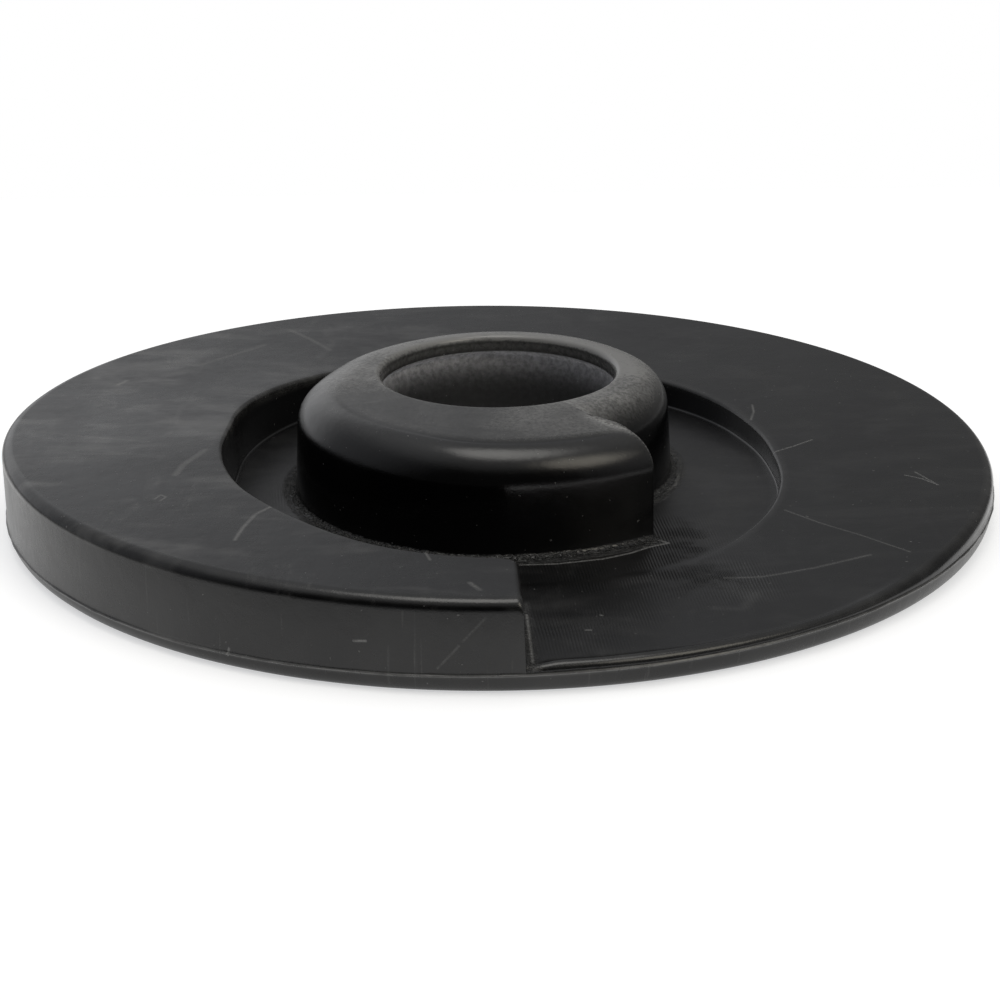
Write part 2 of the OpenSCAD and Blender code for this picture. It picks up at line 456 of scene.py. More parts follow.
@dataclass(frozen=True)
class RubberFinish:
    """Black moulded rubber, satin where it was handled and dull on the floor of the recess."""

    name: str = "moulded_rubber"
    black: tuple[float, float, float] = (0.0022, 0.0022, 0.0024)
    # Grey of the veil, also used for the painted highlight of the worn top edges.
    dust_and_painted_highlight: tuple[float, float, float] = (0.212, 0.211, 0.207)
    # Light grey for scuffs and residue, also used for the painted highlight along the hub step's crest.
    chalk: tuple[float, float, float] = (0.30, 0.30, 0.295)
    # Light grey of the bore's wall: partly rubber bloom, partly painted light that lightens the wall towards its top.
    bloom_and_painted_light: tuple[float, float, float] = (0.780, 0.780, 0.820)
    ring_rough: float = 0.28
    crown_rough: float = 0.24
    floor_rough: float = 0.36
    wall_rough: float = 0.16
    specular: float = 0.5
    grain_mm: float = 0.28
    rib_mm: float = 0.48


TOP_MARKS = (
    Mark(((-50.5, -31.5), (-49.8, -26.9), (-47.1, -19.8)), 0.9, 0.30),
    Mark(((-52.3, -42.2), (-51.6, -40.5), (-50.7, -41.4), (-51.4, -43.1)), 0.3, 0.40),
    Mark(((-38.5, -59.4), (-37.8, -54.6), (-36.4, -49.0), (-34.5, -46.1)), 0.5, 0.40),
    Mark(((-78.5, -6.2), (-68.7, -10.6), (-56.6, -14.9)), 0.35, 0.25),
    Mark(((-54.3, 36.0), (-49.5, 42.8), (-43.8, 50.9)), 0.9, 0.22),
    Mark(((-39.9, 61.7), (-35.7, 55.6), (-31.4, 48.1)), 0.8, 0.25),
    Mark(((-67.3, 22.2), (-66.7, 23.5), (-66.2, 24.9)), 0.8, 0.60),
    Mark(((45.7, -3.8), (49.9, -0.8), (53.1, 1.9)), 0.3, 0.45),
    Mark(((44.8, 19.6), (44.7, 16.0), (43.8, 11.9)), 0.35, 0.35),
    Mark(((66.3, -14.7), (68.8, -16.5), (70.9, -19.2)), 0.3, 0.45),
    Mark(((68.1, -13.4), (70.9, -19.2)), 0.25, 0.40),
    Mark(((45.2, -27.5), (50.1, -33.0), (55.6, -38.1), (62.2, -45.1)), 0.28, 0.24),
    Mark(((33.6, -50.5), (38.9, -50.7), (47.4, -48.6), (56.1, -45.4)), 0.5, 0.20),
    Mark(((-4.3, -75.6), (-2.9, -78.2)), 0.6, 0.30),
    Mark(((-10.8, -64.0), (-10.0, -67.1)), 0.35, 0.35),
    Mark(((3.0, -44.2), (8.5, -44.0), (15.7, -42.2), (20.1, -39.9), (23.1, -37.5), (26.2, -35.9), (24.4, -34.3)),
         0.4, 0.55),
    Mark(((29.6, -1.2), (30.0, -4.8), (29.2, -9.5), (26.7, -13.9)), 0.5, 0.4),
    Mark(((37.6, -56.9), (35.0, -62.5), (31.1, -62.0)), 1.4, 0.05),
    Mark(((3.7, -63.5), (4.3, -80.5)), 0.35, 0.5),
    Mark(((14.4, -64.0), (14.6, -64.2)), 0.35, 0.6),
    Mark(((12.0, -69.4), (12.8, -69.4)), 0.3, 0.5),
)
RIB_PATCHES = ((12.0, -50.0, 10.0, 6.0, 0.8), (28.0, -36.0, 5.0, 9.0, 1.0), (33.0, -51.0, 8.0, 7.0, 0.9),
               (12.0, -66.0, 9.0, 9.0, 0.7), (-34.5, -10.0, 2.0, 6.0, 0.5))
SIDE_MARKS = (
    Mark(((263.8, 4.1), (265.9, 7.5)), 0.3, 0.16),
    Mark(((266.3, 8.2), (268.5, 11.7)), 0.3, 0.13),
    Mark(((255.6, 7.5), (256.8, 7.6)), 0.3, 0.60),
    Mark(((242.0, 3.5), (241.8, 2.4)), 0.3, 0.50),
)


@dataclass(frozen=True)
class Grid:
    """Points of the moulding, sections by profile points, with what the finish reads from them."""

    points: np.ndarray
    angle: np.ndarray
    zones: np.ndarray
    masks: dict[str, np.ndarray]


@dataclass
class Moulding:
    """The whole rubber piece: ring, recess, hub and bore carried round the turn as one section."""

    ring: RampRing = field(default_factory=RampRing)
    recess: SpringRecess = field(default_factory=SpringRecess)
    hub: Hub = field(default_factory=Hub)
    bore: Bore = field(default_factory=Bore)
    finish: RubberFinish = field(default_factory=RubberFinish)
    step_round: float = 0.8
    step_foot: float = 0.6
    step_lean: float = 0.25
    step_gauge: float = 76.0
    step_width: float = 0.25

    def step_face(self) -> tuple[np.ndarray, np.ndarray]:
        """Sections over the ramp's step: a quarter round, a slightly leaning wall and a fillet.

        Ways along the turn become degrees at the radius step_gauge. With the angle p from 0 to
        90, the round is s = -lean/2 - R (1 - sin p), drop = R (1 - cos p), and the fillet is
        s = lean/2 + F (1 - cos p), drop = H - F (1 - sin p).

        Returns:
            Angles of the sections, and the share of the step's height that is left at each.
        """
        height = float(self.ring.top(np.array(self.recess.step_a), np.array(1.0))) - self.ring.floor_h
        p, q = arc(0, 90, 9), arc(8, 90, 8)
        half = self.step_lean / 2
        u = np.linspace(0, 1, 18)[1:-1]
        way = np.concatenate([-half - self.step_round * (1 - np.sin(p)), -half + self.step_lean * u,
                              half + self.step_foot * (1 - np.cos(q))])
        drop = np.concatenate([self.step_round * (1 - np.cos(p)),
                               self.step_round + (height - self.step_round - self.step_foot) * u,
                               height - self.step_foot * (1 - np.sin(q))])
        return self.recess.step_a + self.step_width + np.degrees(way / self.step_gauge), 1 - drop / height

    def sections(self) -> tuple[np.ndarray, np.ndarray, np.ndarray, slice]:
        """Sections round the turn, close together at both steps.

        Returns:
            Angles, shares of the step's height left, the hub's foot radii, and the sections of
            the hub's step.
        """
        face, share = self.step_face()
        start = face[-1] - TURN
        end = self.hub.end_a - TURN
        round_up = np.sin(arc(0, 88, 14))
        corner = end - self.hub.corner_a * (1 - round_up)
        across = np.linspace(0, 1, 30)
        after = end + self.hub.face_a + np.cumsum(np.linspace(0.25, 0.9, 6))
        before = np.linspace(start + 0.45, corner[0] - 0.9, 34)
        wall_corner = self.recess.step_a - self.recess.corner_a * (1 - np.sin(arc(0, 48, 6)))
        plain = np.linspace(after[-1] + 0.9, wall_corner[0] - 0.8, 318)
        angle = np.concatenate([before, corner, end + self.hub.face_a * across, after, plain, wall_corner, face])
        left = np.ones_like(angle)
        left[-len(share):] = share
        foot = self.hub.radius(angle)
        first = len(before) + len(corner)
        from_r = float(self.hub.radius(np.array(end - 1e-6)))
        foot[first:first + len(across)] = from_r + (self.hub.hub_r - from_r) * across
        return angle, left, foot, slice(first - 4, first + len(across) + 3)

    def surface(self) -> Grid:
        """The closed surface.

        A point of section a with radius r and height z lies at the angle
        t = a - twist * max(0, hub_end_r - max(r, hub_r)), so that the hub's step stands
        slantwise, and is (r cos t, r sin t, z). Columns of the hub are then averaged along the turn across the
        hub's step, which rounds its edges.

        Returns:
            Points in metres, one row a section, and the masks of the finish.
        """
        angle, left, foot, step = self.sections()
        a, f = angle[:, None], foot[:, None]
        top = self.ring.top(angle, left)[:, None]
        wall = self.recess.radius(angle)[:, None]
        strips = self.ring.underside(self.bore.bore_r + self.bore.chamfer + 0.4)
        strips += self.ring.rim(a, top)
        share = np.linspace(0.01, 0.98, 28)
        part, crest, room = self.ring.edge(a, top)
        outer = self.ring.disc_r - self.ring.bead_w - room - 0.1
        inner = wall + self.recess.lean + self.recess.lip_r + 0.05
        across = outer + (inner - outer) * share ** 1.6
        strips.append(strip(Zone.TOP, across, top + (crest - top) * np.exp(-((outer - across) / 0.7) ** 2)))
        strips += self.recess.wall(wall, top, self.ring.floor_h)
        strips += self.hub.body(a, f, wall, self.ring.floor_h, self.bore.bore_r + self.bore.mouth_r)
        strips += self.bore.throat(self.hub.hub_h)
        count = len(angle)
        r = np.concatenate([np.broadcast_to(s[1], (count, s[1].shape[-1])) for s in strips], axis=1)
        z = np.concatenate([np.broadcast_to(s[2], (count, s[2].shape[-1])) for s in strips], axis=1)
        zones = np.concatenate([[s[0].value] * s[1].shape[-1] for s in strips])
        slant = self.hub.hub_end_r - np.maximum(r, self.hub.hub_r)
        t = np.radians(a - self.hub.twist * np.maximum(0, slant))
        points = np.stack([r * np.cos(t), r * np.sin(t), z], axis=-1)
        hub = np.isin(zones, [Zone.HUB_FOOT.value, Zone.HUB_WALL.value, Zone.SHOULDER.value])
        for _ in range(3):
            part = points[step.start - 1:step.stop + 1][:, hub]
            points[np.ix_(np.arange(step.start, step.stop), hub)] = (part[:-2] + 2 * part[1:-1] + part[2:]) / 4
        return Grid(points * MM, angle, zones, self.masks(angle, left, r, z, zones))

    def masks(self, angle: np.ndarray, left: np.ndarray, r: np.ndarray, z: np.ndarray,
              zones: np.ndarray) -> dict[str, np.ndarray]:
        """Where each effect of the finish, and each painted highlight or painted shade, lies, as shares from 0 to 1.

        Closeness to a line is exp(-(d / w)^2) for a distance d and a width w in millimetres.

        Args:
            angle: Angle of each section.
            left: Share of the step's height that is left at each section.
            r: Radii of all points.
            z: Heights of all points.
            zones: Zone of each column.

        Returns:
            One array a mask, of the grid's shape.
        """
        def on(*names: Zone) -> np.ndarray:
            """1 on the columns of the named zones, spread to the grid."""
            return np.broadcast_to(np.isin(zones, [n.value for n in names]).astype(float), r.shape)

        def near(d: np.ndarray, w: float) -> np.ndarray:
            """Closeness to a line."""
            return np.exp(-(d / w) ** 2)

        h = self.hub
        a = angle[:, None]
        foot = h.radius(angle)[:, None]
        climb = np.clip((z - (h.hub_h - h.shoulder_h)) / h.shoulder_h, 0, 1)
        part = self.ring.parting_z + self.ring.parting_tilt * np.cos(np.radians(a))
        flat = on(Zone.FLOOR) + on(Zone.TOP) * np.clip(1 - (z - self.ring.floor_h) / 0.6, 0, 1)
        tall = np.clip((z[:, zones == Zone.TOP.value][:, -1:] - self.ring.floor_h) / 1.5, 0, 1)
        face = (left < 0.999) & (left > 0.001)
        foot_a = angle[face][-1]
        way = np.radians(np.where(a > 180, a - foot_a, a + TURN - foot_a)) * r
        turned = h.unwound(a)
        before = np.radians(h.end_a - turned) * r
        narrow = np.clip((r - 36.5) / 2.0, 0, 1)
        # Painted highlight: a thin light line along the crest at the hub's step.
        crest = near(before - 0.35, 1.1 - 0.8 * narrow) * (1 - 0.5 * narrow) * np.clip((r - 27) / 4, 0, 1)
        t = np.radians(a - h.twist * np.maximum(0, h.hub_end_r - np.maximum(r, h.hub_r)))
        x, y = r * np.cos(t), r * np.sin(t)
        ribbed = sum(share * near(np.hypot((x - x0) / sx, (y - y0) / sy), 1.0) for x0, y0, sx, sy, share in RIB_PATCHES)
        powdered = Curve(((-54, 0.9), (-20, 1.0), (20, 1.4), (90, 1.6), (140, 1.1), (185, 0.75), (225, 0.25),
                          (262, 0.18), (285, 0.35), (306, 0.5)))
        beyond = np.clip((h.fold(turned) - (h.wall_top(a, foot) - r)) / 0.8 + 0.5, 0, 1) * np.clip((turned - 215) / 30, 0, 1)
        turned_in = np.clip(1 - (h.hub_h - z) / self.bore.mouth_r, 0, 1)
        # Painted light: the bore's wall grows lighter towards its top, where light falls into the hole.
        painted_light_falloff = 0.02 + 0.98 * np.clip((z - 8) / 10, 0, 1) ** 5
        ledge = h.hub_h - self.bore.mouth_r - self.bore.lip_h
        lip_d = z - (h.hub_h - self.bore.mouth_r - self.bore.lip_h * 0.45)
        return {
            "upward": on(Zone.TOP, Zone.RIM, Zone.LIP, Zone.CROWN) + on(Zone.FLOOR) * np.where(a < 15, 0.9, 0.2),
            "crown": on(Zone.SHOULDER) * climb + on(Zone.CROWN, Zone.MOUTH),
            "matt": np.clip(flat, 0, 1),
            "glossy": on(Zone.HUB_WALL, Zone.HUB_FOOT) + on(Zone.RECESS_WALL) * tall + on(Zone.SHOULDER) * (1 - climb)
                      + 0.6 * on(Zone.RIM),
            "side": on(Zone.WALL, Zone.BEAD, Zone.UNDER_ROUND),
            "foot": on(Zone.FLOOR, Zone.HUB_FOOT, Zone.HUB_WALL) * near(r - foot - 1.2, 1.5) * near(z - 4.2, 1.6),
            "step_foot": near(way - 0.3, 0.55) * (r > 60) * on(Zone.TOP, Zone.RIM) * near(z - 4.2, 3.0),
            "flash": near(z - part, 0.2) * on(Zone.BEAD, Zone.WALL, Zone.UNDER_ROUND),
            "crest": crest * (on(Zone.SHOULDER) * climb + on(Zone.CROWN)),
            # Worn top edges, partly real wear and partly a painted highlight.
            "edge": on(Zone.RIM) * near((z - z[:, zones == Zone.TOP.value][:, :1]) + 0.35, 0.5) + on(Zone.LIP) * 0.9 * tall,
            "lip": on(Zone.BORE_LIP, Zone.MOUTH) * near(lip_d, 0.9),
            "hollow": on(Zone.HOLLOW, Zone.BORE) + on(Zone.BORE_LIP) * (r > self.bore.bore_r + 0.5),
            "powder": (on(Zone.CROWN) + on(Zone.SHOULDER) * climb ** 3 + on(Zone.MOUTH) * 1.25 * turned_in ** 0.5)
                      * powdered(turned) * (1 - 0.8 * beyond),
            "haze": painted_light_falloff * (on(Zone.HOLLOW, Zone.BORE) + on(Zone.BORE_LIP) * (z < ledge - 0.2)),
            # Painted shade in the crease, following its depth.
            "groove": on(Zone.CROWN, Zone.SHOULDER) * h.groove(a, foot, r) / h.crease,
            "ribs": ribbed,
        }

    def build(self) -> bpy.types.Object:
        """Makes the mesh from the grid.

        Each face joins (i, j), (i + 1, j), (i + 1, j + 1) and (i, j + 1), closed both ways, and
        points outward. The map "wrap" holds the way round the rim and the height.

        Returns:
            The finished piece, at the origin.
        """
        grid = self.surface()
        n, m = grid.points.shape[:2]
        i, j = np.meshgrid(np.arange(n), np.arange(m), indexing="ij")
        k, l = (i + 1) % n, (j + 1) % m
        quads = np.stack([i * m + j, k * m + j, k * m + l, i * m + l], axis=-1).reshape(-1, 4)
        mesh = bpy.data.meshes.new("insulator_rubber")
        mesh.vertices.add(n * m)
        mesh.vertices.foreach_set("co", grid.points.astype(np.float32).ravel())
        mesh.loops.add(quads.size)
        mesh.loops.foreach_set("vertex_index", quads.astype(np.int32).ravel())
        mesh.polygons.add(len(quads))
        mesh.polygons.foreach_set("loop_start", np.arange(0, quads.size, 4, dtype=np.int32))
        mesh.update(calc_edges=True)
        mesh.polygons.foreach_set("use_smooth", np.ones(len(quads), dtype=bool))
        around = np.radians(np.append(grid.angle, grid.angle[0] + TURN)) * self.ring.disc_r * MM
        height = grid.points[..., 2]
        u = np.stack([around[i], around[i + 1], around[i + 1], around[i]], axis=-1)
        v = np.stack([height[i, j], height[k, j], height[k, l], height[i, l]], axis=-1)
        mesh.uv_layers.new(name="wrap").uv.foreach_set("vector", np.stack([u, v], axis=-1).astype(np.float32).ravel())
        for name, mask in grid.masks.items():
            mesh.attributes.new(name, "FLOAT", "POINT").data.foreach_set("value", mask.astype(np.float32).ravel())
        mesh.validate()
        piece = bpy.data.objects.new("insulator_rubber", mesh)
        bpy.context.scene.collection.objects.link(piece)
        LOG.info("%s: %d sections of %d points", piece.name, n, m)
        return piece

    def dress(self, piece: bpy.types.Object) -> None:
        """Gives the piece its rubber."""
        piece.data.materials.append(RubberLook(self.finish, self.ring.disc_r).material())


Socket = bpy.types.NodeSocket
Value = Socket | float


class Graph:
    """Short calls that add shader nodes and join them."""

    def __init__(self, tree: bpy.types.NodeTree) -> None:
        """Starts on an empty tree."""
        self.tree = tree
        tree.nodes.clear()

    def add(self, kind: str, out: int | str = 0, **values: object) -> Socket:
        """Adds a node.

        Args:
            kind: Name of the node type, without its ShaderNode prefix where it has one.
            out: Output to return.
            **values: Settings by name, and inputs as i0, i1 or i_Name.

        Returns:
            The named output.
        """
        node = self.tree.nodes.new(kind if kind.startswith("Node") else "ShaderNode" + kind)
        for name, value in values.items():
            if name.startswith("i") and (name[1:].isdigit() or name[1:2] == "_"):
                slot = node.inputs[int(name[1:]) if name[1:].isdigit() else name[2:].replace("_", " ")]
                if isinstance(value, bpy.types.NodeSocket):
                    self.tree.links.new(value, slot)
                else:
                    slot.default_value = value
            else:
                setattr(node, name, value)
        return node.outputs[out]

    def math(self, kind: str, a: Value, b: Value = 0.0, clamp: bool = False) -> Socket:
        """One Math node."""
        return self.add("Math", operation=kind, use_clamp=clamp, i0=a, i1=b)

    def vec(self, kind: str, a: Socket | tuple, b: Socket | tuple, out: int = 0) -> Socket:
        """One Vector Math node on two vectors."""
        return self.add("VectorMath", out, operation=kind, i0=a, i1=b)

    def product(self, *values: Value) -> Socket:
        """All the values multiplied."""
        total = values[0]
        for value in values[1:]:
            total = self.math("MULTIPLY", total, value)
        return total

    def total(self, *values: Value) -> Socket:
        """All the values added."""
        result = values[0]
        for value in values[1:]:
            result = self.math("ADD", result, value)
        return result

    def fit(self, value: Value, low: float, high: float, to_low: float = 0.0, to_high: float = 1.0) -> Socket:
        """Value moved smoothly from one range to another, and held at its ends."""
        return self.add("MapRange", interpolation_type="SMOOTHSTEP", i0=value, i1=low, i2=high, i3=to_low, i4=to_high)

    def noise(self, where: Socket, scale: float, detail: float = 2.0, rough: float = 0.5, warp: float = 0.0) -> Socket:
        """Noise from 0 to 1, with the scale in waves a millimetre."""
        return self.add("TexNoise", "Fac", i_Vector=where, i_Scale=scale, i_Detail=detail, i_Roughness=rough,
                        i_Distortion=warp)

    def stretched(self, where: Socket, size: tuple[float, float, float], turn: float) -> Socket:
        """Coordinates turned about Z by an angle in degrees and scaled on each axis."""
        return self.add("Mapping", i_Vector=where, i_Rotation=(0, 0, math.radians(turn)), i_Scale=size)

    def mask(self, name: str) -> Socket:
        """One of the moulding's masks."""
        return self.add("Attribute", "Fac", attribute_name=name)

    def blend(self, share: Value, a: Socket | tuple, b: Socket | tuple) -> Socket:
        """Colour a turned into colour b by a share."""
        return self.add("Mix", 2, data_type="RGBA", clamp_factor=True, i0=share, i6=a, i7=b)


def colour(rgb: tuple[float, float, float]) -> tuple[float, float, float, float]:
    """Colour with full opacity."""
    return (*rgb, 1.0)


def stroke_group() -> bpy.types.NodeTree:
    """Group that gives the mask of one straight scuff.

    With p the way from its start and b the way along it, the share along it is
    h = clamp(p.b / b.b), the distance is |p - h b|, and the mask falls smoothly to 0 at the width.

    Returns:
        The group, made once.
    """
    tree = bpy.data.node_groups.new("stroke", "ShaderNodeTree")
    face = tree.interface
    for name, kind in (("Place", "Vector"), ("Start", "Vector"), ("Along", "Vector"), ("Width", "Float")):
        face.new_socket(name, in_out="INPUT", socket_type="NodeSocket" + kind)
    face.new_socket("Mask", in_out="OUTPUT", socket_type="NodeSocketFloat")
    g = Graph(tree)
    source = tree.nodes.new("NodeGroupInput").outputs
    p = g.vec("SUBTRACT", source["Place"], source["Start"])
    b = source["Along"]
    h = g.math("DIVIDE", g.vec("DOT_PRODUCT", p, b, 1), g.vec("DOT_PRODUCT", b, b, 1), clamp=True)
    rest = g.vec("SUBTRACT", p, g.add("VectorMath", operation="SCALE", i0=b, i_Scale=h))
    d = g.add("VectorMath", 1, operation="LENGTH", i0=rest)
    sink = tree.nodes.new("NodeGroupOutput").inputs
    tree.links.new(g.add("MapRange", interpolation_type="SMOOTHSTEP", i0=d, i1=0.0, i2=source["Width"], i3=1.0, i4=0.0),
                   sink["Mask"])
    return tree


@dataclass
class RubberLook:
    """Node material of the moulding, from its finish and the masks on its mesh."""

    finish: RubberFinish
    disc_r: float

    def strokes(self, g: Graph, group: bpy.types.NodeTree, where: Socket, marks: tuple[Mark, ...],
                scale: tuple[float, float]) -> Socket:
        """Masks of a table of marks, each multiplied by its strength, with the highest kept.

        Args:
            g: Graph of the material.
            group: The stroke group.
            where: Coordinates in millimetres.
            marks: The table.
            scale: What the marks' two coordinates are multiplied by.

        Returns:
            The joint mask.
        """
        best: Value = 0.0
        for mark in marks:
            for (x0, y0), (x1, y1) in zip(mark.points, mark.points[1:]):
                node = g.tree.nodes.new("ShaderNodeGroup")
                node.node_tree = group
                g.tree.links.new(where, node.inputs["Place"])
                node.inputs["Start"].default_value = (x0 * scale[0], y0 * scale[1], 0)
                node.inputs["Along"].default_value = ((x1 - x0) * scale[0], (y1 - y0) * scale[1], 0)
                node.inputs["Width"].default_value = mark.width
                best = g.math("MAXIMUM", best, g.math("MULTIPLY", node.outputs["Mask"], mark.strength))
        return best

    def ribs(self, g: Graph, place: Socket) -> Socket:
        """Fine ribs that the mould's cutter left on the floor, in patches.

        They are sin(2 pi d / rib_mm), with d the way across them, which wavers a little.

        Args:
            g: Graph of the material.
            place: Coordinates in millimetres.

        Returns:
            Heights from -1 to 1, 0 outside the patches.
        """
        waver = g.add("CombineXYZ", i0=g.product(g.noise(place, 0.09, 2.0), 0.5))
        across = g.vec("DOT_PRODUCT", g.vec("ADD", place, waver), (0.996, 0.09, 0), 1)
        rib = g.math("SINE", g.product(across, 2 * math.pi / self.finish.rib_mm))
        return g.product(rib, g.mask("matt"), g.mask("ribs"), g.fit(g.noise(place, 0.3, 2.0), 0.35, 0.6, 0.4, 1.0))

    def crust(self, g: Graph, place: Socket) -> Socket:
        """Wrinkled residue at the foot of the hub and of the step, as a share from 0 to 1."""
        wrinkle = g.noise(g.stretched(place, (1.0, 2.2, 1.0), 8), 1.1, 4.0, 0.7, 0.8)
        hub = g.product(g.fit(g.mask("foot"), 0.35, 0.95), g.fit(wrinkle, 0.42, 0.66))
        step = g.product(g.mask("step_foot"), g.fit(wrinkle, 0.38, 0.62), 0.5)
        return g.math("MAXIMUM", hub, step)

    def dust_and_painted_highlight(self, g: Graph, place: Socket) -> Socket:
        """Thin grey veil: clouds where the skin was handled or wiped, worn edges that also paint a highlight along the
        top edges, and the bore's lip.

        Clouds thin out from the left to the right of the ring.

        Args:
            g: Graph of the material.
            place: Coordinates in millimetres.

        Returns:
            How much of the veil shows.
        """
        left = g.fit(g.add("SeparateXYZ", 0, i0=place), -80.0, 40.0, 1.0, 0.15)
        wiped = g.noise(g.stretched(place, (0.05, 0.16, 0.1), 32), 1.0, 3.0, 0.6, 0.8)
        veil = g.product(g.fit(g.total(g.noise(place, 0.045, 3.0, 0.55, 1.2), wiped), 0.95, 1.32), 0.26)
        swept = g.noise(g.stretched(place, (0.22, 0.05, 0.1), 20), 1.0, 3.0, 0.6, 0.6)
        streak = g.product(g.fit(swept, 0.56, 0.72), g.fit(g.noise(place, 0.6, 3.0, 0.6), 0.35, 0.7), 0.2)
        veil = g.product(g.total(veil, streak), left, g.mask("upward"))
        # Worn edges, partly real wear and partly a painted highlight along the rim's top edge.
        worn_and_painted_highlight = g.product(g.mask("edge"), g.fit(g.noise(place, 0.15, 3.0, 0.6), 0.3, 0.7, 0.4, 1.0), 0.07)
        lip = g.product(g.mask("lip"), g.fit(g.noise(place, 1.4, 3.0, 0.6), 0.25, 0.75, 0.5, 1.0), 0.55)
        side = g.product(g.mask("side"), g.fit(g.noise(place, 0.05, 3.0), 0.35, 0.7), 0.06)
        fine = g.fit(g.noise(place, 1.6, 3.0, 0.7), 0.3, 0.7, 0.55, 1.3)
        powder = g.product(g.mask("powder"), g.fit(g.noise(place, 0.12, 2.0), 0.3, 0.7, 0.7, 1.25), fine)
        return g.total(veil, worn_and_painted_highlight, lip, side, powder)

    def chalk(self, g: Graph, place: Socket, wrap: Socket) -> Socket:
        """Light marks: scuffs and scratches from the tables, hairlines on the side and specks.

        Args:
            g: Graph of the material.
            place: Coordinates in millimetres.
            wrap: Way round the rim and height, in millimetres.

        Returns:
            How much of the chalk shows.
        """
        group = stroke_group()
        flat = g.vec("MULTIPLY", place, (1, 1, 0))
        top = g.product(self.strokes(g, group, flat, TOP_MARKS, (1, 1)), g.mask("upward"))
        side = self.strokes(g, group, wrap, SIDE_MARKS, (math.radians(self.disc_r), 1))
        hair = g.fit(g.noise(g.stretched(wrap, (0.9, 0.07, 1.0), -28), 1.0, 2.0), 0.66, 0.74)
        hair = g.total(hair, g.fit(g.noise(g.stretched(wrap, (1.3, 0.05, 1.0), 4), 1.0, 2.0), 0.66, 0.75))
        side = g.product(g.total(side, g.product(hair, 0.07)), g.mask("side"))
        marks = g.product(g.total(top, side), g.fit(g.noise(place, 3.2, 3.0, 0.6), 0.32, 0.6, 0.35, 1.0))
        specks = g.product(g.fit(g.noise(place, 1.7, 1.0, 0.4), 0.765, 0.81), 0.32)
        return g.total(marks, specks)

    def material(self) -> bpy.types.Material:
        """Builds the whole node tree.

        Returns:
            The material.
        """
        look = self.finish
        mat = bpy.data.materials.new(look.name)
        mat.use_nodes = True
        g = Graph(mat.node_tree)
        place = g.add("VectorMath", operation="SCALE", i0=g.add("TexCoord", "Object"), i_Scale=1000.0)
        wrap = g.add("VectorMath", operation="SCALE", i0=g.add("UVMap", uv_map="wrap"), i_Scale=1000.0)
        # Partly bloom and partly painted light on the bore's wall, lighter towards the top where light enters.
        bloom_and_painted_light = g.product(g.mask("haze"), g.fit(g.noise(place, 1.1, 3.0, 0.65), 0.25, 0.75, 0.45, 1.0))
        skin = g.blend(bloom_and_painted_light, colour(look.black), colour(look.bloom_and_painted_light))
        skin = g.blend(self.dust_and_painted_highlight(g, place), skin, colour(look.dust_and_painted_highlight))
        chalk = self.chalk(g, place, wrap)
        skin = g.blend(chalk, skin, colour(look.chalk))
        skin = g.blend(g.product(self.crust(g, place), 0.32), skin, colour(look.chalk))
        thread = g.product(g.mask("flash"), g.fit(g.noise(place, 0.4, 3.0, 0.6), 0.3, 0.6, 0.55, 1.0), 0.38)
        # Painted highlight along the hub step's crest, blended in the chalk colour.
        crest = g.product(g.mask("crest"), g.fit(g.noise(place, 2.4, 3.0, 0.6), 0.35, 0.6, 0.15, 1.0), 1.1)
        skin = g.blend(g.total(thread, crest), skin, colour(look.chalk))
        # Painted shade: the crease is darkened to near black, clearing the dust and powder from it.
        skin = g.blend(g.product(g.mask("groove"), 0.9), skin, colour((0.002, 0.002, 0.002)))

        gloss = g.total(look.ring_rough, g.product(g.mask("crown"), look.crown_rough - look.ring_rough))
        gloss = g.total(gloss, g.product(g.mask("matt"), look.floor_rough - look.ring_rough))
        gloss = g.total(gloss, g.product(g.mask("glossy"), look.wall_rough - look.ring_rough))
        gloss = g.total(gloss, g.product(g.mask("hollow"), 0.22), g.product(chalk, 0.4))
        gloss = g.total(gloss, g.product(g.math("SUBTRACT", g.noise(place, 0.05, 3.0), 0.5), 0.22))
        gloss = g.total(gloss, g.product(g.math("SUBTRACT", g.noise(place, 0.6, 3.0), 0.5), 0.10))
        gloss = g.math("MINIMUM", g.math("MAXIMUM", gloss, 0.12), 0.85)

        relief = g.product(g.noise(place, 1 / look.grain_mm, 2.0), 0.015)
        relief = g.total(relief, g.product(g.noise(place, 0.28, 2.0), 0.05))
        relief = g.total(relief, g.product(self.ribs(g, place), 0.07))
        relief = g.total(relief, g.product(self.crust(g, place), 0.25))
        bump = g.add("Bump", i_Strength=1.0, i_Distance=MM, i_Height=relief)
        shader = g.add("BsdfPrincipled", i_Base_Color=skin, i_Roughness=gloss, i_Normal=bump, i_IOR=1.5,
                       i_Specular_IOR_Level=look.specular)
        sink = g.tree.nodes.new("ShaderNodeOutputMaterial")
        g.tree.links.new(shader, sink.inputs["Surface"])
        return mat


@dataclass(frozen=True)
class Glow:
    """Soft patch of light in the studio's surroundings."""

    azimuth: float
    elevation: float
    inner: float
    outer: float
    power: float
    tint: tuple[float, float, float] = (1.0, 1.0, 1.0)

    @property
    def toward(self) -> tuple[float, float, float]:
        """Unit way from the object to the middle of the patch."""
        a, e = math.radians(self.azimuth), math.radians(self.elevation)
        return math.cos(e) * math.cos(a), math.cos(e) * math.sin(a), math.sin(e)


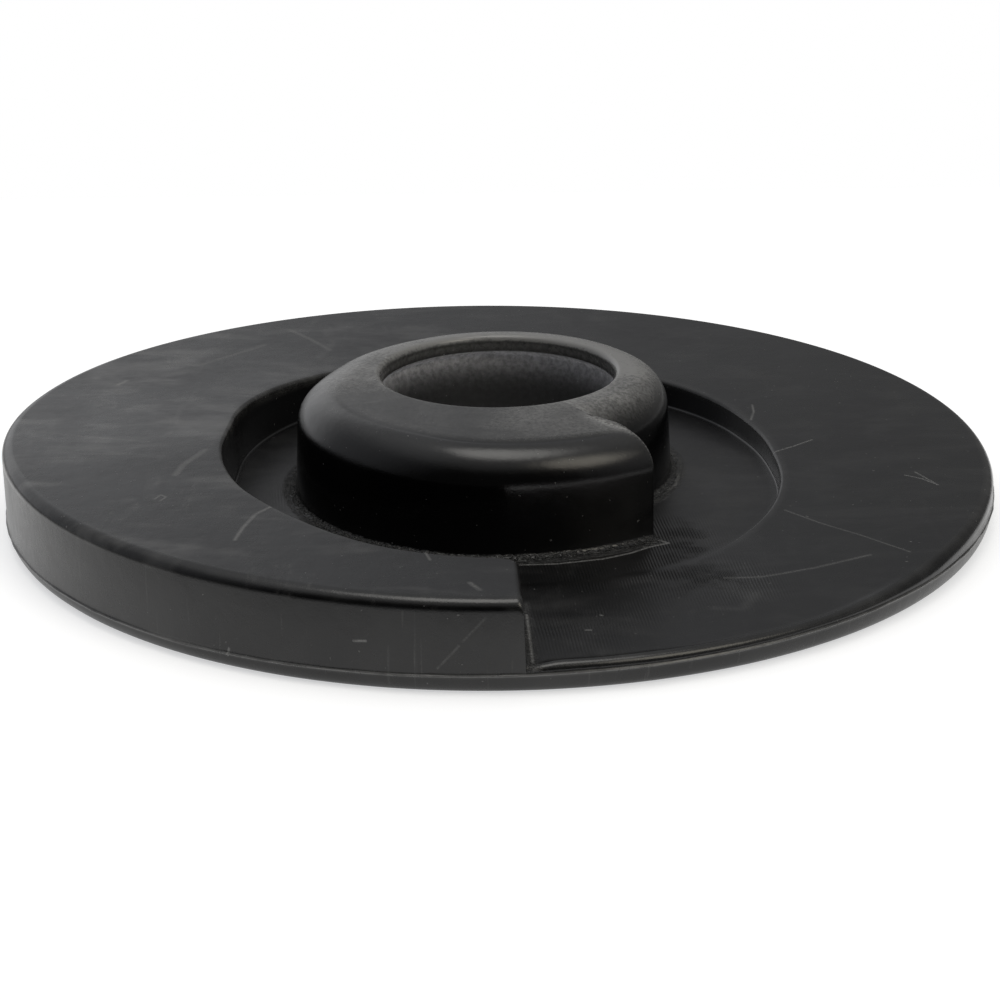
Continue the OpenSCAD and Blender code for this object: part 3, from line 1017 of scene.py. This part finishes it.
@dataclass
class Studio:
    """Pale floor, soft light all round and the camera at the photograph's angle."""

    distance: float = 412.5
    elevation: float = 20.18
    roll: float = -0.75
    focal_px: float = 2424.4
    centre: tuple[float, float] = (499.56, 491.02)
    frame_px: float = 1000.0
    floor_half: float = 220.0
    base: float = 0.02
    floor_glow: float = 0.58
    under_glow: float = 0.08
    lit_to: tuple[float, float] = (0.100, 0.140)
    far_share: float = 0.22
    glows: tuple[Glow, ...] = (
        Glow(-90.0, 86.0, 3.0, 23.0, 3.0, (1.0, 0.98, 0.94)),
        Glow(-90.0, 86.0, 15.0, 62.0, 0.45),
        Glow(-42.0, 44.0, 5.0, 21.0, 2.5, (1.0, 0.94, 0.80)),
        Glow(-28.0, 20.0, 8.0, 32.0, 0.22),
        Glow(124.0, 6.0, 8.0, 36.0, 0.36),
        Glow(150.0, 28.0, 25.0, 75.0, 0.30, (0.96, 0.98, 1.04)),
        Glow(84.0, 20.0, 14.0, 42.0, 0.13),
        Glow(20.0, 30.0, 20.0, 60.0, 0.14),
    )

    def camera(self) -> bpy.types.Object:
        """Camera on a ring of the given distance and elevation in front, rolled a little.

        Returns:
            The camera.
        """
        e, roll = math.radians(self.elevation), math.radians(self.roll)
        ahead = Vector((0, math.cos(e), -math.sin(e)))
        right, up = Vector((1, 0, 0)), Vector((0, math.sin(e), math.cos(e)))
        x = math.cos(roll) * right + math.sin(roll) * up
        y = -math.sin(roll) * right + math.cos(roll) * up
        lens = bpy.data.cameras.new("camera")
        lens.sensor_fit = "HORIZONTAL"
        lens.sensor_width = 36.0
        lens.lens = 36.0 * self.focal_px / self.frame_px
        lens.shift_x = (self.frame_px / 2 - self.centre[0]) / self.frame_px
        lens.shift_y = (self.centre[1] - self.frame_px / 2) / self.frame_px
        lens.clip_start, lens.clip_end = 0.01, 20.0
        cam = bpy.data.objects.new("camera", lens)
        spot = -ahead * self.distance * MM
        cam.matrix_world = Matrix(((x.x, y.x, -ahead.x, spot.x), (x.y, y.y, -ahead.y, spot.y),
                                   (x.z, y.z, -ahead.z, spot.z), (0, 0, 0, 1)))
        bpy.context.scene.collection.objects.link(cam)
        bpy.context.scene.camera = cam
        return cam

    def floor(self) -> bpy.types.Object:
        """Square floor just below the underside, in a matt near-white that glows softly.

        The glow fades under the object, so that no light comes up through the bore, and round its edge, which paints a
        soft contact shadow on the floor. Away from the object the rubber sees a dark floor, as it does beyond the edge
        of a small table.

        Returns:
            The floor, marked as stage.
        """
        s, z = self.floor_half * MM, -0.05 * MM
        mesh = bpy.data.meshes.new("floor")
        mesh.from_pydata([(-s, -s, z), (s, -s, z), (s, s, z), (-s, s, z)], [], [(0, 1, 2, 3)])
        obj = bpy.data.objects.new("floor", mesh)
        bpy.context.scene.collection.objects.link(obj)
        mat = bpy.data.materials.new("floor_paint")
        mat.use_nodes = True
        g = Graph(mat.node_tree)
        away = g.add("VectorMath", 1, operation="LENGTH", i0=g.add("TexCoord", "Object"))
        seen = g.add("LightPath", "Is Camera Ray")
        lit = g.math("MAXIMUM", seen, g.fit(away, *self.lit_to, 1.0, self.far_share))
        # Painted shadow: the floor's glow is dimmed near the object, a soft contact shadow round its edge.
        glow = g.product(g.fit(away, 0.055, 0.092, self.under_glow, self.floor_glow), lit)
        glow = g.total(glow, g.product(seen, 0.1))
        shade = g.blend(lit, (0.02, 0.02, 0.02, 1.0), (0.55, 0.55, 0.55, 1.0))
        paint = g.add("BsdfPrincipled", i_Base_Color=shade, i_Roughness=0.9, i_Specular_IOR_Level=0.1,
                      i_Emission_Color=(0.985, 0.99, 1.0, 1.0), i_Emission_Strength=glow)
        g.tree.links.new(paint, g.tree.nodes.new("ShaderNodeOutputMaterial").inputs["Surface"])
        mesh.materials.append(mat)
        return obj

    def light(self) -> None:
        """Surroundings: an even base plus soft patches, and plain white where the camera looks past the floor.

        A patch adds its power where the angle from its middle is under inner, and falls
        smoothly to nothing at outer.
        """
        world = bpy.data.worlds.new("studio")
        world.use_nodes = True
        bpy.context.scene.world = world
        g = Graph(world.node_tree)
        way = g.vec("NORMALIZE", g.add("TexCoord", "Generated"), (0, 0, 0))
        light: Socket | tuple = (self.base,) * 3
        for glow in self.glows:
            near = g.vec("DOT_PRODUCT", way, glow.toward, 1)
            share = g.fit(near, math.cos(math.radians(glow.outer)), math.cos(math.radians(glow.inner)))
            tint = tuple(glow.power * c for c in glow.tint)
            light = g.vec("ADD", light, g.add("VectorMath", operation="SCALE", i0=tint, i_Scale=share))
        seen = g.add("LightPath", "Is Camera Ray")
        shade = g.blend(seen, light, (1.0, 1.0, 1.0, 1.0))
        back = g.add("Background", i_Color=shade, i_Strength=1.0)
        g.tree.links.new(back, g.tree.nodes.new("ShaderNodeOutputWorld").inputs["Surface"])


def main() -> None:
    """Loads the frame, builds and dresses the moulding, and sets the studio."""
    logging.basicConfig(level=logging.INFO, format="%(name)s: %(message)s")
    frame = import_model()
    moulding = Moulding()
    piece = moulding.build()
    moulding.dress(piece)
    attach(piece, next(iter(frame["bodies"])))
    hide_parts("insulator")
    studio = Studio()
    studio.floor()
    studio.camera()
    studio.light()
    view = bpy.context.scene.view_settings
    view.view_transform, view.look = "Standard", "None"
    bpy.context.view_layer.update()


if __name__ == "__main__":
    main()
